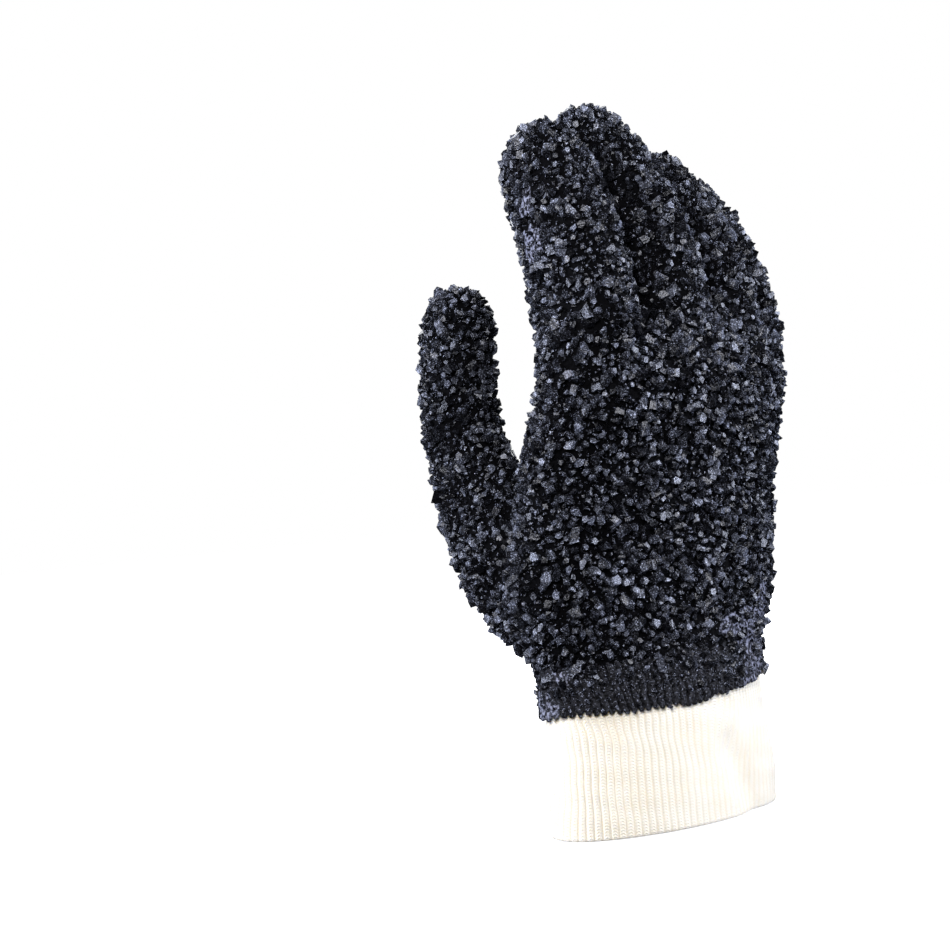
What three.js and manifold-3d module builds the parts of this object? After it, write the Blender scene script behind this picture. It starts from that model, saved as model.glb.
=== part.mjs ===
// A right-hand work glove: a cloth-lined hand dipped in crumbed black PVC, with a cream rib-knit wrist
// cuff. Millimetres. The origin is the centre of the cuff's mouth, where the wrist goes in. +Z runs from
// the wrist to the fingertips, -Y is the back of the hand, +Y is the palm side and -X is the thumb side.
import * as THREE from "three";
import { mergeVertices } from "three/addons/utils/BufferGeometryUtils.js";
import Module from "manifold-3d";

// Knit cuff. The tuck is the stretch of it that lies inside the dipped skirt.
const CUFF_WIDTH = 93;
const CUFF_DEPTH = 45;
const CUFF_WALL = 2.4;
const BARE_CUFF = 46;
const CUFF_TUCK = 14;
const RIB_COUNT = 72;
const RIB_RELIEF = 0.7;
const HEM_ROUND = 1.2;

// Dipped skirt over the cuff's top. Its lower edge, the dip line, rises by DIP_SLOPE from the thumb side
// across and hangs DIP_SAG lower in the middle. SKIRT_LAP is how far its top reaches up inside the hand.
const SKIRT_HEIGHT = 14;
const SKIRT_WALL = 1.5;
const SKIRT_LAP = 5;
const DIP_SLOPE = 5;
const DIP_SAG = 3;
const DIP_RAGGEDNESS = 1.6;
const FIT_GAP = 0.3;

// Palm, from the skirt's top to the webs between the fingers. Its width is measured along its cupped back.
// The hand starts HAND_LAP down inside the skirt, and its hollow HOLLOW_LAP down inside the cuff, both
// narrower by NECK.
const SHELL_WALL = 2.8;
const PALM_LENGTH = 126;
const PALM_WIDTH = 132;
const PALM_DEPTH = 46;
const PALM_CUP = 32;
const PALM_TURN = 16;
const HAND_LAP = 3;
const HOLLOW_LAP = 2;
const NECK = 0.6;

// Finger and thumb stalls. A finger's length is from its web to its tip, the thumb's from its root in the
// palm. FINGER_SINK is how far a finger starts below its web, and WEB_DROP how far the lowest web lies
// below the palm's top.
const INDEX_LENGTH = 73.5;
const MIDDLE_LENGTH = 80.5;
const RING_LENGTH = 65.5;
const LITTLE_LENGTH = 66;
const FINGER_WIDTH = 31;
const FINGER_DEPTH = 41;
const FINGER_SINK = 44;
const WEB_DROP = 7;
const THUMB_LENGTH = 142;
const THUMB_WIDTH = 28;
const THUMB_DEPTH = 30;

// How finely the outlines are divided, and how a digit's tip is rounded off.
const PALM_SIDES = 32;
const DIGIT_SIDES = 14;
const HOLLOW_PALM_SIDES = 28;
const HOLLOW_DIGIT_SIDES = 12;
const DIGIT_SQUARE = 2;
const LINE_STEPS = 10;
const TIP_ARC = [20, 40, 58, 74];
const TIP_ROUND = 0.62;
const CUFF_SIDES = 64;
const ROWS_BETWEEN = 3;
const FINGER_BEND_FROM = -0.05;
const SMALL = 1e-4;

// Palm sections. rise is a share of PALM_LENGTH above the skirt, width and depth are shares of PALM_WIDTH
// and PALM_DEPTH, right is a shift towards +X as a share of PALM_WIDTH, front one towards +Y as a share of
// PALM_DEPTH, cup is a share of PALM_CUP, turn one of PALM_TURN, and square is the outline's power, an
// ellipse at 2.
const PALM_SECTIONS = [
  { rise: 0.03, width: 0.76, depth: 1.1, right: -0.01, front: 0, cup: 0.1, turn: 0, square: 2.1 },
  { rise: 0.125, width: 0.85, depth: 1.1, right: -0.01, front: 0, cup: 0.2, turn: 0, square: 2.2 },
  { rise: 0.27, width: 0.88, depth: 1.04, right: 0.005, front: -0.05, cup: 0.35, turn: 0.15, square: 2.4 },
  { rise: 0.44, width: 0.9, depth: 0.98, right: 0.025, front: -0.17, cup: 0.6, turn: 0.4, square: 2.6 },
  { rise: 0.61, width: 0.95, depth: 0.94, right: 0.057, front: -0.29, cup: 0.85, turn: 0.7, square: 2.9 },
  { rise: 0.73, width: 0.98, depth: 0.91, right: 0.09, front: -0.38, cup: 1, turn: 0.9, square: 3.2 },
  { rise: 0.84, width: 0.99, depth: 0.87, right: 0.1, front: -0.42, cup: 1, turn: 1, square: 3.2 },
  { rise: 0.92, width: 0.97, depth: 0.74, right: 0.1, front: -0.42, cup: 1, turn: 1, square: 3 },
  { rise: 0.97, width: 0.92, depth: 0.54, right: 0.1, front: -0.42, cup: 1, turn: 1, square: 2.8 },
  { rise: 1, width: 0.84, depth: 0.28, right: 0.1, front: -0.42, cup: 1, turn: 1, square: 2.6 },
];

// Dents and creases of the palm. side is 1 on the palm side and -1 on the back, across runs from -1 at the
// thumb side to 1, rise is as above, wide and tall are the spreads along those two, and deep is a share of
// PALM_DEPTH.
const PALM_DENTS = [
  { name: "ball of the thumb", side: 1, across: -0.5, rise: 0.31, wide: 0.46, tall: 0.22, deep: -0.3 },
  { name: "heel of the outer side", side: 1, across: 0.6, rise: 0.25, wide: 0.4, tall: 0.21, deep: -0.08 },
  { name: "palm hollow", side: 1, across: 0.1, rise: 0.52, wide: 0.4, tall: 0.21, deep: 0.12 },
  { name: "upper palm crease", side: 1, across: 0.25, rise: 0.73, wide: 0.6, tall: 0.07, deep: 0.05 },
  { name: "back crease", side: -1, across: -0.4, rise: 0.59, wide: 0.14, tall: 0.1, deep: 0.04 },
  { name: "wrist hollow", side: -1, across: -0.1, rise: 0.1, wide: 0.4, tall: 0.07, deep: 0.03 },
  { name: "groove below index web", side: -1, across: -0.49, rise: 0.89, wide: 0.12, tall: 0.13, deep: 0.11 },
  { name: "groove below middle web", side: -1, across: 0.01, rise: 0.89, wide: 0.14, tall: 0.12, deep: 0.09 },
  { name: "groove below ring web", side: -1, across: 0.51, rise: 0.89, wide: 0.12, tall: 0.13, deep: 0.09 },
];

// Rings of the skirt. rise is a share of SKIRT_HEIGHT above the bare cuff, inward one of SKIRT_WALL, and
// ribs one of RIB_RELIEF.
const SKIRT_ROWS = [
  { rise: 0, inward: 0, ribs: 1 },
  { rise: 0.6, inward: 0, ribs: 1 },
  { rise: 1.14, inward: 0.2, ribs: 0 },
];

// Levels of the bare cuff's rings, as shares of BARE_CUFF, and the stretch over which its folds fade out.
const CUFF_LEVELS = [0.2, 0.4, 0.6, 0.8, 1];
const FOLDS_FADE = [0.6, 0.8];

// Folds of the bare cuff, each from one place to another. turn goes once round from +X, anticlockwise seen
// from above, rise is a share of BARE_CUFF, wide is the fold's spread as a share of CUFF_WIDTH, and deep,
// as a share of CUFF_DEPTH, leads inwards.
const CUFF_FOLDS = [
  { name: "slant fold", fromTurn: 0.832, fromRise: 0.72, toTurn: 0.905, toRise: 0, wide: 0.075, deep: 0.09 },
  { name: "pad beside", fromTurn: 0.9, fromRise: 0.65, toTurn: 0.95, toRise: 0.3, wide: 0.1, deep: -0.03 },
  { name: "shallow hollow", fromTurn: 0.3, fromRise: 0.2, toTurn: 0.2, toRise: 0.7, wide: 0.12, deep: 0.05 },
];

// Fingers. seat is the place across the knuckles, from -1 at the thumb side to 1, size is a share of
// FINGER_WIDTH and FINGER_DEPTH, drop is a share of WEB_DROP, and the angles lead from the root to the tip:
// lean is towards the little finger's side and curl towards the palm, in degrees.
const FINGERS = [
  { name: "index", length: INDEX_LENGTH, seat: -0.715, size: 1.08, drop: 0.57,
    rootLean: 0, tipLean: -1, rootCurl: 4, tipCurl: 36 },
  { name: "middle", length: MIDDLE_LENGTH, seat: -0.22, size: 1.01, drop: 0,
    rootLean: 3, tipLean: -6, rootCurl: 5, tipCurl: 40 },
  { name: "ring", length: RING_LENGTH, seat: 0.268, size: 0.97, drop: 0.14,
    rootLean: 6, tipLean: 3, rootCurl: 5, tipCurl: 42 },
  { name: "little", length: LITTLE_LENGTH, seat: 0.775, size: 0.91, drop: 1,
    rootLean: 9, tipLean: 11, rootCurl: 5, tipCurl: 36 },
];

// Sections of a finger stall. along is a share of its length, width and depth are shares of the stall's
// own, and front is a shift towards its palm side as a share of its depth: the creases at its base and
// joint press in from there.
const FINGER_ROWS = [
  { along: 0, width: 0.6, depth: 0.4, front: 0 },
  { along: 0.14, width: 0.84, depth: 0.67, front: 0 },
  { along: 0.28, width: 0.95, depth: 0.86, front: 0 },
  { along: 0.38, width: 0.99, depth: 0.97, front: -0.015 },
  { along: 0.49, width: 1, depth: 1.02, front: 0.01 },
  { along: 0.6, width: 1, depth: 0.99, front: 0.005 },
  { along: 0.69, width: 0.98, depth: 0.94, front: -0.015 },
  { along: 0.79, width: 0.98, depth: 0.96, front: 0.005 },
  { along: 0.9, width: 0.97, depth: 0.93, front: 0 },
  { along: 1, width: 0.93, depth: 0.88, front: -0.01 },
];

// The thumb. right, front and rise place its root as in a palm section, and face turns its palm side from
// +Y. beside in its rows is a shift towards the fingers as a share of its width, which makes the ball of
// the thumb.
const THUMB = { right: -0.186, front: 0.34, rise: 0.05, face: -40,
  rootLean: -34, tipLean: 9, rootCurl: 2, tipCurl: 6 };
const THUMB_ROWS = [
  { along: 0, width: 0.9, depth: 0.5, front: -0.1, beside: 0.1 },
  { along: 0.06, width: 1.3, depth: 0.8, front: -0.12, beside: 0.12 },
  { along: 0.13, width: 1.66, depth: 1, front: -0.15, beside: 0.16 },
  { along: 0.21, width: 1.85, depth: 1.12, front: -0.15, beside: 0.2 },
  { along: 0.3, width: 1.88, depth: 1.18, front: -0.12, beside: 0.22 },
  { along: 0.4, width: 1.68, depth: 1.18, front: -0.07, beside: 0.19 },
  { along: 0.5, width: 1.36, depth: 1.12, front: -0.03, beside: 0.1 },
  { along: 0.6, width: 1.12, depth: 1.04, front: -0.02, beside: 0.03 },
  { along: 0.7, width: 1.04, depth: 1.02, front: 0, beside: 0 },
  { along: 0.8, width: 1.04, depth: 1.03, front: 0.01, beside: 0 },
  { along: 0.9, width: 1.02, depth: 0.99, front: 0, beside: 0 },
  { along: 1, width: 0.98, depth: 0.95, front: -0.01, beside: 0 },
];

const wasm = await Module();
wasm.setup();

const radians = THREE.MathUtils.degToRad;
const { lerp, smoothstep } = THREE.MathUtils;

const SKIRT_TOP = BARE_CUFF + SKIRT_HEIGHT;
// The knuckles are the first section that is turned all the way.
const KNUCKLES = PALM_SECTIONS.find((section) => section.turn === 1);
const palmZ = (rise) => SKIRT_TOP + rise * PALM_LENGTH;

// A manifold solid of a closed three.js geometry.
function solidOf(geometry) {
  const merged = mergeVertices(geometry, SMALL);
  const mesh = new wasm.Mesh({
    numProp: 3,
    vertProperties: merged.attributes.position.array,
    triVerts: new Uint32Array(merged.index.array),
  });
  return new wasm.Manifold(mesh);
}

function geometryOf(solid) {
  const { vertProperties, triVerts } = solid.getMesh();
  const geometry = new THREE.BufferGeometry();
  geometry.setAttribute("position", new THREE.BufferAttribute(Float32Array.from(vertProperties), 3));
  geometry.setIndex(new THREE.BufferAttribute(Uint32Array.from(triVerts), 1));
  geometry.computeVertexNormals();
  return geometry;
}

// A closed body through rings of equally many points, which run anticlockwise seen from the last ring.
function loft(rings) {
  const sides = rings[0].length;
  const positions = rings.flat().flatMap((p) => [p.x, p.y, p.z]);
  const index = [];
  for (let r = 0; r + 1 < rings.length; r += 1) {
    for (let i = 0; i < sides; i += 1) {
      const a = r * sides + i;
      const b = r * sides + ((i + 1) % sides);
      const rising = rings[r][i].distanceTo(rings[r + 1][(i + 1) % sides]);
      const falling = rings[r][(i + 1) % sides].distanceTo(rings[r + 1][i]);
      if (rising < falling) index.push(a, b, b + sides, a, b + sides, a + sides);
      else index.push(a, b, a + sides, b, b + sides, a + sides);
    }
  }
  for (const [ring, flip] of [[0, true], [rings.length - 1, false]]) {
    const middle = rings[ring].reduce((sum, p) => sum.add(p), new THREE.Vector3()).divideScalar(sides);
    const centre = positions.length / 3;
    positions.push(middle.x, middle.y, middle.z);
    for (let i = 0; i < sides; i += 1) {
      const a = ring * sides + i;
      const b = ring * sides + ((i + 1) % sides);
      index.push(...(flip ? [b, a, centre] : [a, b, centre]));
    }
  }
  const geometry = new THREE.BufferGeometry();
  geometry.setAttribute("position", new THREE.Float32BufferAttribute(positions, 3));
  geometry.setIndex(index);
  return geometry;
}

// A rounded outline with the given half sizes, a superellipse of the given power, as pairs of coordinates.
function outline(halfWidth, halfDepth, power, sides) {
  const bow = (wave) => Math.sign(wave) * Math.abs(wave) ** (2 / power);
  return Array.from({ length: sides }, (_, i) => {
    const angle = (2 * Math.PI * i) / sides;
    return [halfWidth * bow(Math.cos(angle)), halfDepth * bow(Math.sin(angle))];
  });
}

const UP = new THREE.Vector3(0, 0, 1);

// A place in a palm section: across runs along the cupped middle line, through leads towards the palm side.
function palmPoint(section, across, through) {
  const cup = radians(PALM_CUP) * section.cup;
  const radius = (section.width * PALM_WIDTH) / 2 / cup;
  const angle = across / radius;
  const inner = radius - through;
  const place = new THREE.Vector3(inner * Math.sin(angle), radius - inner * Math.cos(angle), 0);
  place.applyAxisAngle(UP, radians(PALM_TURN * section.turn));
  const centre = [section.right * PALM_WIDTH, section.front * PALM_DEPTH, palmZ(section.rise)];
  return place.add(new THREE.Vector3(...centre));
}

// A palm section's outline, with the dents pressed in, drawn in by inset. The topmost ones sink by it too.
function palmRing(section, inset, sides) {
  const halfWidth = (section.width * PALM_WIDTH) / 2 - inset;
  const halfDepth = (section.depth * PALM_DEPTH) / 2 - inset;
  const sink = inset * smoothstep(section.rise, KNUCKLES.rise, 1);
  return outline(halfWidth, halfDepth, section.square, sides).map(([across, through]) => {
    let pressed = through;
    for (const dent of PALM_DENTS) {
      const facing = Math.max(0, (dent.side * through) / halfDepth);
      const beside = (across / halfWidth - dent.across) / dent.wide;
      const above = (section.rise - dent.rise) / dent.tall;
      pressed -= dent.side * dent.deep * PALM_DEPTH * facing * Math.exp(-(beside ** 2) - above ** 2);
    }
    const place = palmPoint(section, across, pressed);
    place.z -= sink;
    return place;
  });
}

// The rows of a table and, between each two, extra ones on a smooth curve through every column.
function smoothRows(rows, key, between) {
  const names = Object.keys(rows[0]);
  const samples = rows.flatMap((row) => names.map((name) => row[name]));
  const curve = new THREE.CubicInterpolant(rows.map((row) => row[key]), samples, names.length);
  const smooth = [];
  for (let i = 0; i + 1 < rows.length; i += 1) {
    for (let j = 0; j <= between; j += 1) {
      const share = lerp(rows[i][key], rows[i + 1][key], j / (between + 1));
      const values = Array.from(curve.evaluate(share));
      smooth.push({ ...Object.fromEntries(names.map((name, k) => [name, values[k]])), [key]: share });
    }
  }
  return [...smooth, rows[rows.length - 1]];
}

// The curve of a digit, from the places that lead up to its start, if any, and from there by its own angles.
function digitCurve(digit) {
  const facing = digit.facing;
  const beside = facing.clone().cross(UP);
  const places = [...digit.rootPlaces];
  for (let i = 0; i < LINE_STEPS; i += 1) {
    const share = smoothstep((i + 0.5) / LINE_STEPS, digit.bendFrom, 1);
    const lean = radians(lerp(digit.rootLean, digit.tipLean, share));
    const curl = radians(lerp(digit.rootCurl, digit.tipCurl, share));
    const step = new THREE.Vector3(0, 0, Math.cos(lean) * Math.cos(curl));
    step.addScaledVector(beside, Math.sin(lean) * Math.cos(curl));
    step.addScaledVector(facing, Math.sin(curl));
    places.push(places[places.length - 1].clone().addScaledVector(step, digit.reach / LINE_STEPS));
  }
  return new THREE.CatmullRomCurve3(places);
}

// A stall: outlines along its curve, narrowing to a round tip.
function digitLoft(digit, inset, sides) {
  const curve = digitCurve(digit);
  const reach = curve.getLength();
  const tip = digit.width * TIP_ROUND;
  const straight = reach - tip;
  const stations = digit.rows.map((row) => ({ ...row, at: row.along * straight, round: 1 }));
  const last = stations[stations.length - 1];
  for (const arc of TIP_ARC) {
    const at = straight + (tip - inset) * Math.sin(radians(arc));
    stations.push({ ...last, at, round: Math.cos(radians(arc)) });
  }
  return loft(stations.map((station) => {
    const along = curve.getTangentAt(station.at / reach);
    const depthAxis = digit.facing.clone().addScaledVector(along, -digit.facing.dot(along)).normalize();
    const widthAxis = depthAxis.clone().cross(along);
    const centre = curve.getPointAt(station.at / reach);
    centre.addScaledVector(depthAxis, station.front * digit.depth);
    centre.addScaledVector(widthAxis, station.beside * digit.width);
    const halfWidth = ((digit.width * station.width) / 2 - inset) * station.round;
    const halfDepth = ((digit.depth * station.depth) / 2 - inset) * station.round;
    return outline(halfWidth, halfDepth, DIGIT_SQUARE, sides).map(([x, y]) =>
      centre.clone().addScaledVector(widthAxis, x).addScaledVector(depthAxis, y));
  }));
}

// The horizontal direction towards the palm side, turned by an angle in degrees.
function facingAt(angle) {
  return new THREE.Vector3(0, 1, 0).applyAxisAngle(UP, radians(angle));
}

// A finger starts inside the palm, runs along the middle of its sections up to the knuckles, and goes its
// own way above.
function fingerDigit(finger) {
  const sections = smoothRows(PALM_SECTIONS, "rise", ROWS_BETWEEN);
  const across = (finger.seat * KNUCKLES.width * PALM_WIDTH) / 2;
  const drop = finger.drop * WEB_DROP;
  const rootRise = 1 - (drop + FINGER_SINK) / PALM_LENGTH;
  const inside = sections.filter((section) => section.rise > rootRise && section.rise <= KNUCKLES.rise);
  return {
    ...finger,
    rootPlaces: inside.map((section) => palmPoint(section, across, 0)),
    facing: facingAt(PALM_TURN * KNUCKLES.turn + PALM_CUP * KNUCKLES.cup * finger.seat),
    reach: palmZ(1) - drop + finger.length - palmZ(KNUCKLES.rise),
    width: FINGER_WIDTH * finger.size,
    depth: FINGER_DEPTH * finger.size,
    rows: FINGER_ROWS.map((row) => ({ ...row, beside: 0 })),
    bendFrom: FINGER_BEND_FROM,
  };
}

function thumbDigit() {
  return {
    ...THUMB,
    rootPlaces: [new THREE.Vector3(THUMB.right * PALM_WIDTH, THUMB.front * PALM_DEPTH, palmZ(THUMB.rise))],
    facing: facingAt(THUMB.face),
    reach: THUMB_LENGTH,
    width: THUMB_WIDTH,
    depth: THUMB_DEPTH,
    rows: THUMB_ROWS,
    bendFrom: 0,
  };
}

// How far the cuff's folds press its wall inwards at a place on its outline.
function foldAt(turn, level) {
  const round = ((CUFF_WIDTH + CUFF_DEPTH) / 2) * Math.PI;
  const here = new THREE.Vector3(turn * round, level, 0);
  let press = 0;
  for (const fold of CUFF_FOLDS) {
    const from = new THREE.Vector3(fold.fromTurn * round, fold.fromRise * BARE_CUFF, 0);
    const to = new THREE.Vector3(fold.toTurn * round, fold.toRise * BARE_CUFF, 0);
    const near = new THREE.Line3(from, to).closestPointToPoint(here, true, new THREE.Vector3());
    press += fold.deep * CUFF_DEPTH * Math.exp(-((here.distanceTo(near) / (fold.wide * CUFF_WIDTH)) ** 2));
  }
  return press * (1 - smoothstep(level / BARE_CUFF, ...FOLDS_FADE));
}

// A ring round the cuff with its folds, offset outwards. relief sinks every other point, which lies between
// two ribs.
function cuffRing(level, offset, relief, count = 2 * RIB_COUNT) {
  const curve = new THREE.EllipseCurve(0, 0, CUFF_WIDTH / 2, CUFF_DEPTH / 2);
  return curve.getSpacedPoints(count).slice(0, -1).map((place, i) => {
    const normal = new THREE.Vector2(place.x / CUFF_WIDTH ** 2, place.y / CUFF_DEPTH ** 2).normalize();
    place.addScaledVector(normal, offset - (i % 2) * relief - foldAt(i / count, level));
    return new THREE.Vector3(place.x, place.y, level);
  });
}

function knitCuff() {
  const levels = [...CUFF_LEVELS.map((share) => share * BARE_CUFF), BARE_CUFF + CUFF_TUCK];
  const outer = [cuffRing(0, -HEM_ROUND, RIB_RELIEF), cuffRing(HEM_ROUND, 0, RIB_RELIEF)];
  for (const level of levels) outer.push(cuffRing(level, 0, RIB_RELIEF));
  const past = [-HEM_ROUND, ...levels, BARE_CUFF + CUFF_TUCK + HEM_ROUND];
  const inner = past.map((level) => cuffRing(level, -CUFF_WALL, 0, CUFF_SIDES));
  return solidOf(loft(outer)).subtract(solidOf(loft(inner)));
}

// The dipped skirt follows the ribs under it and ends in a ragged, sloping line.
function skirt() {
  const out = FIT_GAP + SKIRT_WALL;
  const rings = SKIRT_ROWS.map((row) =>
    cuffRing(BARE_CUFF + row.rise * SKIRT_HEIGHT, out - row.inward * SKIRT_WALL, row.ribs * RIB_RELIEF));
  rings[0].forEach((p, i) => {
    const sag = DIP_SAG * (1 - ((2 * p.x) / CUFF_WIDTH) ** 2);
    p.z += (DIP_SLOPE * p.x) / CUFF_WIDTH - sag + (i % 2) * DIP_RAGGEDNESS;
  });
  rings.push(cuffRing(SKIRT_TOP + SKIRT_LAP, out - SKIRT_WALL, 0));
  return solidOf(loft(rings));
}

// The whole hand, drawn in by inset. The hollow has fewer and plainer faces than the outside.
function handSolid(inset) {
  const hollow = inset > 0;
  const palmSides = hollow ? HOLLOW_PALM_SIDES : PALM_SIDES;
  const digitSides = hollow ? HOLLOW_DIGIT_SIDES : DIGIT_SIDES;
  const grow = FIT_GAP + SKIRT_WALL - inset;
  const start = hollow ? BARE_CUFF + CUFF_TUCK - HOLLOW_LAP : SKIRT_TOP - HAND_LAP;
  const rings = [cuffRing(start, grow - NECK, 0, palmSides), cuffRing(SKIRT_TOP, grow, 0, palmSides)];
  const sections = smoothRows(PALM_SECTIONS, "rise", hollow ? 0 : 1);
  for (const section of sections) rings.push(palmRing(section, inset, palmSides));
  let solid = solidOf(loft(rings));
  for (const digit of [...FINGERS.map(fingerDigit), thumbDigit()]) {
    solid = solid.add(solidOf(digitLoft(digit, inset, digitSides)));
  }
  return solid;
}

function coatedHand() {
  const levels = [BARE_CUFF - DIP_SLOPE - DIP_SAG, BARE_CUFF + CUFF_TUCK + FIT_GAP];
  const hollow = solidOf(loft(levels.map((level) => cuffRing(level, FIT_GAP, 0, CUFF_SIDES))));
  return handSolid(0).add(skirt()).subtract(handSolid(SHELL_WALL)).subtract(hollow);
}

const pvc = new THREE.MeshStandardMaterial({ color: 0x15161b, roughness: 0.75, metalness: 0 });
const knit = new THREE.MeshStandardMaterial({ color: 0xf1e9d6, roughness: 0.95, metalness: 0 });

function piece(name, solid, material) {
  const mesh = new THREE.Mesh(geometryOf(solid), material);
  mesh.name = name;
  return mesh;
}

const glove = new THREE.Group();
glove.add(piece("coated_hand", coatedHand(), pvc), piece("knit_cuff", knitCuff(), knit));
export default glove;
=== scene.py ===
"""Dresses a PVC coated work glove: its crumbed coating, the dipped band and the rib-knit cuff.

Lengths are in metres. +Z runs from the wrist to the fingertips, -Y is the back of the hand and -X the thumb
side. The cuff's mouth is centred on the origin.
"""

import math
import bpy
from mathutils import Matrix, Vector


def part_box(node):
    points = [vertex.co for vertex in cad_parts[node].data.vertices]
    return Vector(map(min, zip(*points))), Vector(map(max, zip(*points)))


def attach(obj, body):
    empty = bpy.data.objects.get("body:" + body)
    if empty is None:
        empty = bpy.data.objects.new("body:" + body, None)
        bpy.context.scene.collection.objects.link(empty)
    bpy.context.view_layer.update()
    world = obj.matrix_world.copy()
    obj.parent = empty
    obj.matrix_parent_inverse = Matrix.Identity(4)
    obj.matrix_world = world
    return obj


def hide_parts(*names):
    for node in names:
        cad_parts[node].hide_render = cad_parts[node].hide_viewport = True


bl_info = {
    "name": "PVC Coated Work Glove",
    "version": (1, 0, 0),
    "blender": (4, 5, 0),
    "location": "View3D > Sidebar > Work Glove",
    "description": "Builds the crumbed coating, the dipped band and the rib-knit cuff of a work glove",
    "category": "Add Mesh",
}

from itertools import product

import bmesh
import bpy
import numpy as np
from bpy.props import FloatProperty, FloatVectorProperty, IntProperty, PointerProperty
from bpy.types import Operator, Panel, PropertyGroup
from mathutils import Matrix, Vector

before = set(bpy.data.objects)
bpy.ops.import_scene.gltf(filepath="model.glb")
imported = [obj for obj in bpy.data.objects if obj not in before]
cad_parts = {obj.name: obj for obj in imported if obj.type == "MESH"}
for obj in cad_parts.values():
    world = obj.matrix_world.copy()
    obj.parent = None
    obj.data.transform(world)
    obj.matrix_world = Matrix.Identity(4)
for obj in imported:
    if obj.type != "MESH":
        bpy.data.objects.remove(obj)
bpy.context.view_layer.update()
CUFF_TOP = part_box("knit_cuff")[1].z
MM = 0.001
SEED = 7

# Folds of the bare cuff, each from a start to an end, both a turn and a rise. A turn goes once round from
# +X, anticlockwise seen from above, a rise is a share of the bare cuff's height, wide is the spread as a
# share of the cuff's width and deep leads inwards, as a share of its depth. All fade between two rises.
CUFF_FOLDS = [
    {"start": (0.812, 0.5), "end": (0.868, 0.0), "wide": 0.07, "deep": 0.044},
    {"start": (0.9, 0.65), "end": (0.95, 0.3), "wide": 0.1, "deep": -0.03},
    {"start": (0.3, 0.2), "end": (0.2, 0.7), "wide": 0.12, "deep": 0.05},
]
FOLDS_FADE = (0.6, 0.8)

# Where the ribs slant: the middle and half width in turns, the heights in metres between which they move,
# and how far, in turns.
RIB_SLANTS = [
    {"turn": 0.826, "wide": 0.06, "heights": (0.006, 0.046), "shift": -0.026},
    {"turn": 0.5, "wide": 0.05, "heights": (0.0, 0.02), "shift": -0.012},
    {"turn": 0.53, "wide": 0.05, "heights": (0.026, 0.048), "shift": 0.014},
]

# Places where the coating ran smooth over the crumb: centre and reach in millimetres, and how smooth.
SMOOTH_PATCHES = [
    {"at": (36, -16, 60), "reach": 13, "share": 0.95},
    {"at": (22, -21, 66), "reach": 9, "share": 0.7},
    {"at": (41, -12, 74), "reach": 10, "share": 0.7},
    {"at": (34, -18, 50), "reach": 10, "share": 0.8},
    {"at": (-46, 0, 45), "reach": 7, "share": 0.7},
    {"at": (-47, -6, 55), "reach": 6, "share": 0.45},
    {"at": (-47, -16, 206), "reach": 8, "share": 0.7},
    {"at": (-48, -12, 221), "reach": 6, "share": 0.6},
    {"at": (30, 24, 66), "reach": 12, "share": 0.75},
    {"at": (-30, 26, 64), "reach": 10, "share": 0.65},
]

# Noise of this cell breaks the patches up. They start and are full at the edge, where their unbroken share
# is past the limit.
SMEAR_CELL = (0.0019, 0.0019, 0.0027)
SMEAR_BREAK = 0.8
SMEAR_EDGE = (0.32, 0.5)
SMEAR_LIMIT = (0.05, 0.2)

# Layers of the crumb. Chips have so many sides, tilt off the surface, and rise by lift, a share of their
# half width. A layer starts at thin_from, where only the share least of it lies, and is full at full_from,
# both heights in metres. Where the coating ran smooth, the share thins of it goes. Pale is how light the
# palest chips are, and even the part of that which goes with the tone itself and not with its power.
# Painted_glints is the strength of the painted glints, pale specks that stand in for highlights, and shine
# the specular level.
CRUMB_LAYERS = [
    {"name": "crumb", "sides": 5, "tilt": 0.6, "lift": 0.4,
     "thin_from": 0.047, "full_from": 0.06, "least": 0.0, "thins": 0.8,
     "pale": 0.27, "even": 0.12, "painted_glints": 1.1, "shine": 0.42},
    {"name": "grit", "sides": 4, "tilt": 0.9, "lift": 0.25,
     "thin_from": 0.041, "full_from": 0.054, "least": 0.25, "thins": 0.4,
     "pale": 0.08, "even": 0.0, "painted_glints": 1.7, "shine": 0.26},
]

# The band's frayed corner: its middle and half width in turns round the cuff, how far it hangs below the
# dip line and how far it stands out, both in metres.
FRAY = {"turn": 0.497, "wide": 0.033, "drop": 0.0012, "out": 0.0012}


def metres(name, note, default):
    """A length that a user can change."""
    return FloatProperty(name=name, description=note, default=default, unit="LENGTH")


def degrees(name, note, default):
    """An angle that a user can change, given in degrees."""
    return FloatProperty(name=name, description=note, default=math.radians(default), subtype="ANGLE")


def tint(name, note, default):
    """A colour that a user can change."""
    return FloatVectorProperty(name=name, description=note, default=default, subtype="COLOR")


class CuffSizes(PropertyGroup):
    """Sizes of the knit cuff, as in the solids."""

    width: metres("Width", "Width of the cuff", 0.093)
    depth: metres("Depth", "Depth of the cuff", 0.045)
    wall: metres("Wall", "Thickness of the knit", 0.0024)
    bare: metres("Bare height", "Height below the coating", 0.046)
    ribs: IntProperty(name="Ribs", description="Ribs round the cuff", default=84)
    relief: metres("Rib relief", "Depth between ribs", 0.00025)
    hem: metres("Hem", "Radius of the hem's edge", 0.0012)
    wander: metres("Wander", "How far a rib strays", 0.0006)
    flare: metres("Flare", "How far the mouth widens", 0.0018)
    stitch: metres("Stitch", "Height of one stitch", 0.00105)


class CoatingSizes(PropertyGroup):
    """Sizes of the dipped coating and its band over the cuff."""

    voxel: metres("Voxel", "Grid that the skin is made on", 0.0016)
    sink: metres("Sink", "Skin below the crumb's middle", 0.0012)
    band_top: metres("Band top", "Top of the ribbed band", 0.066)
    band_out: metres("Band offset", "Band's face off the cuff", 0.0018)
    band_gap: metres("Band gap", "Band's back off the cuff", 0.0003)
    slope: metres("Slope", "Rise of the dip line", 0.005)
    sag: metres("Sag", "How low the dip line hangs", 0.003)
    ragged: metres("Raggedness", "Teeth of the dip line", 0.0014)


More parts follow.
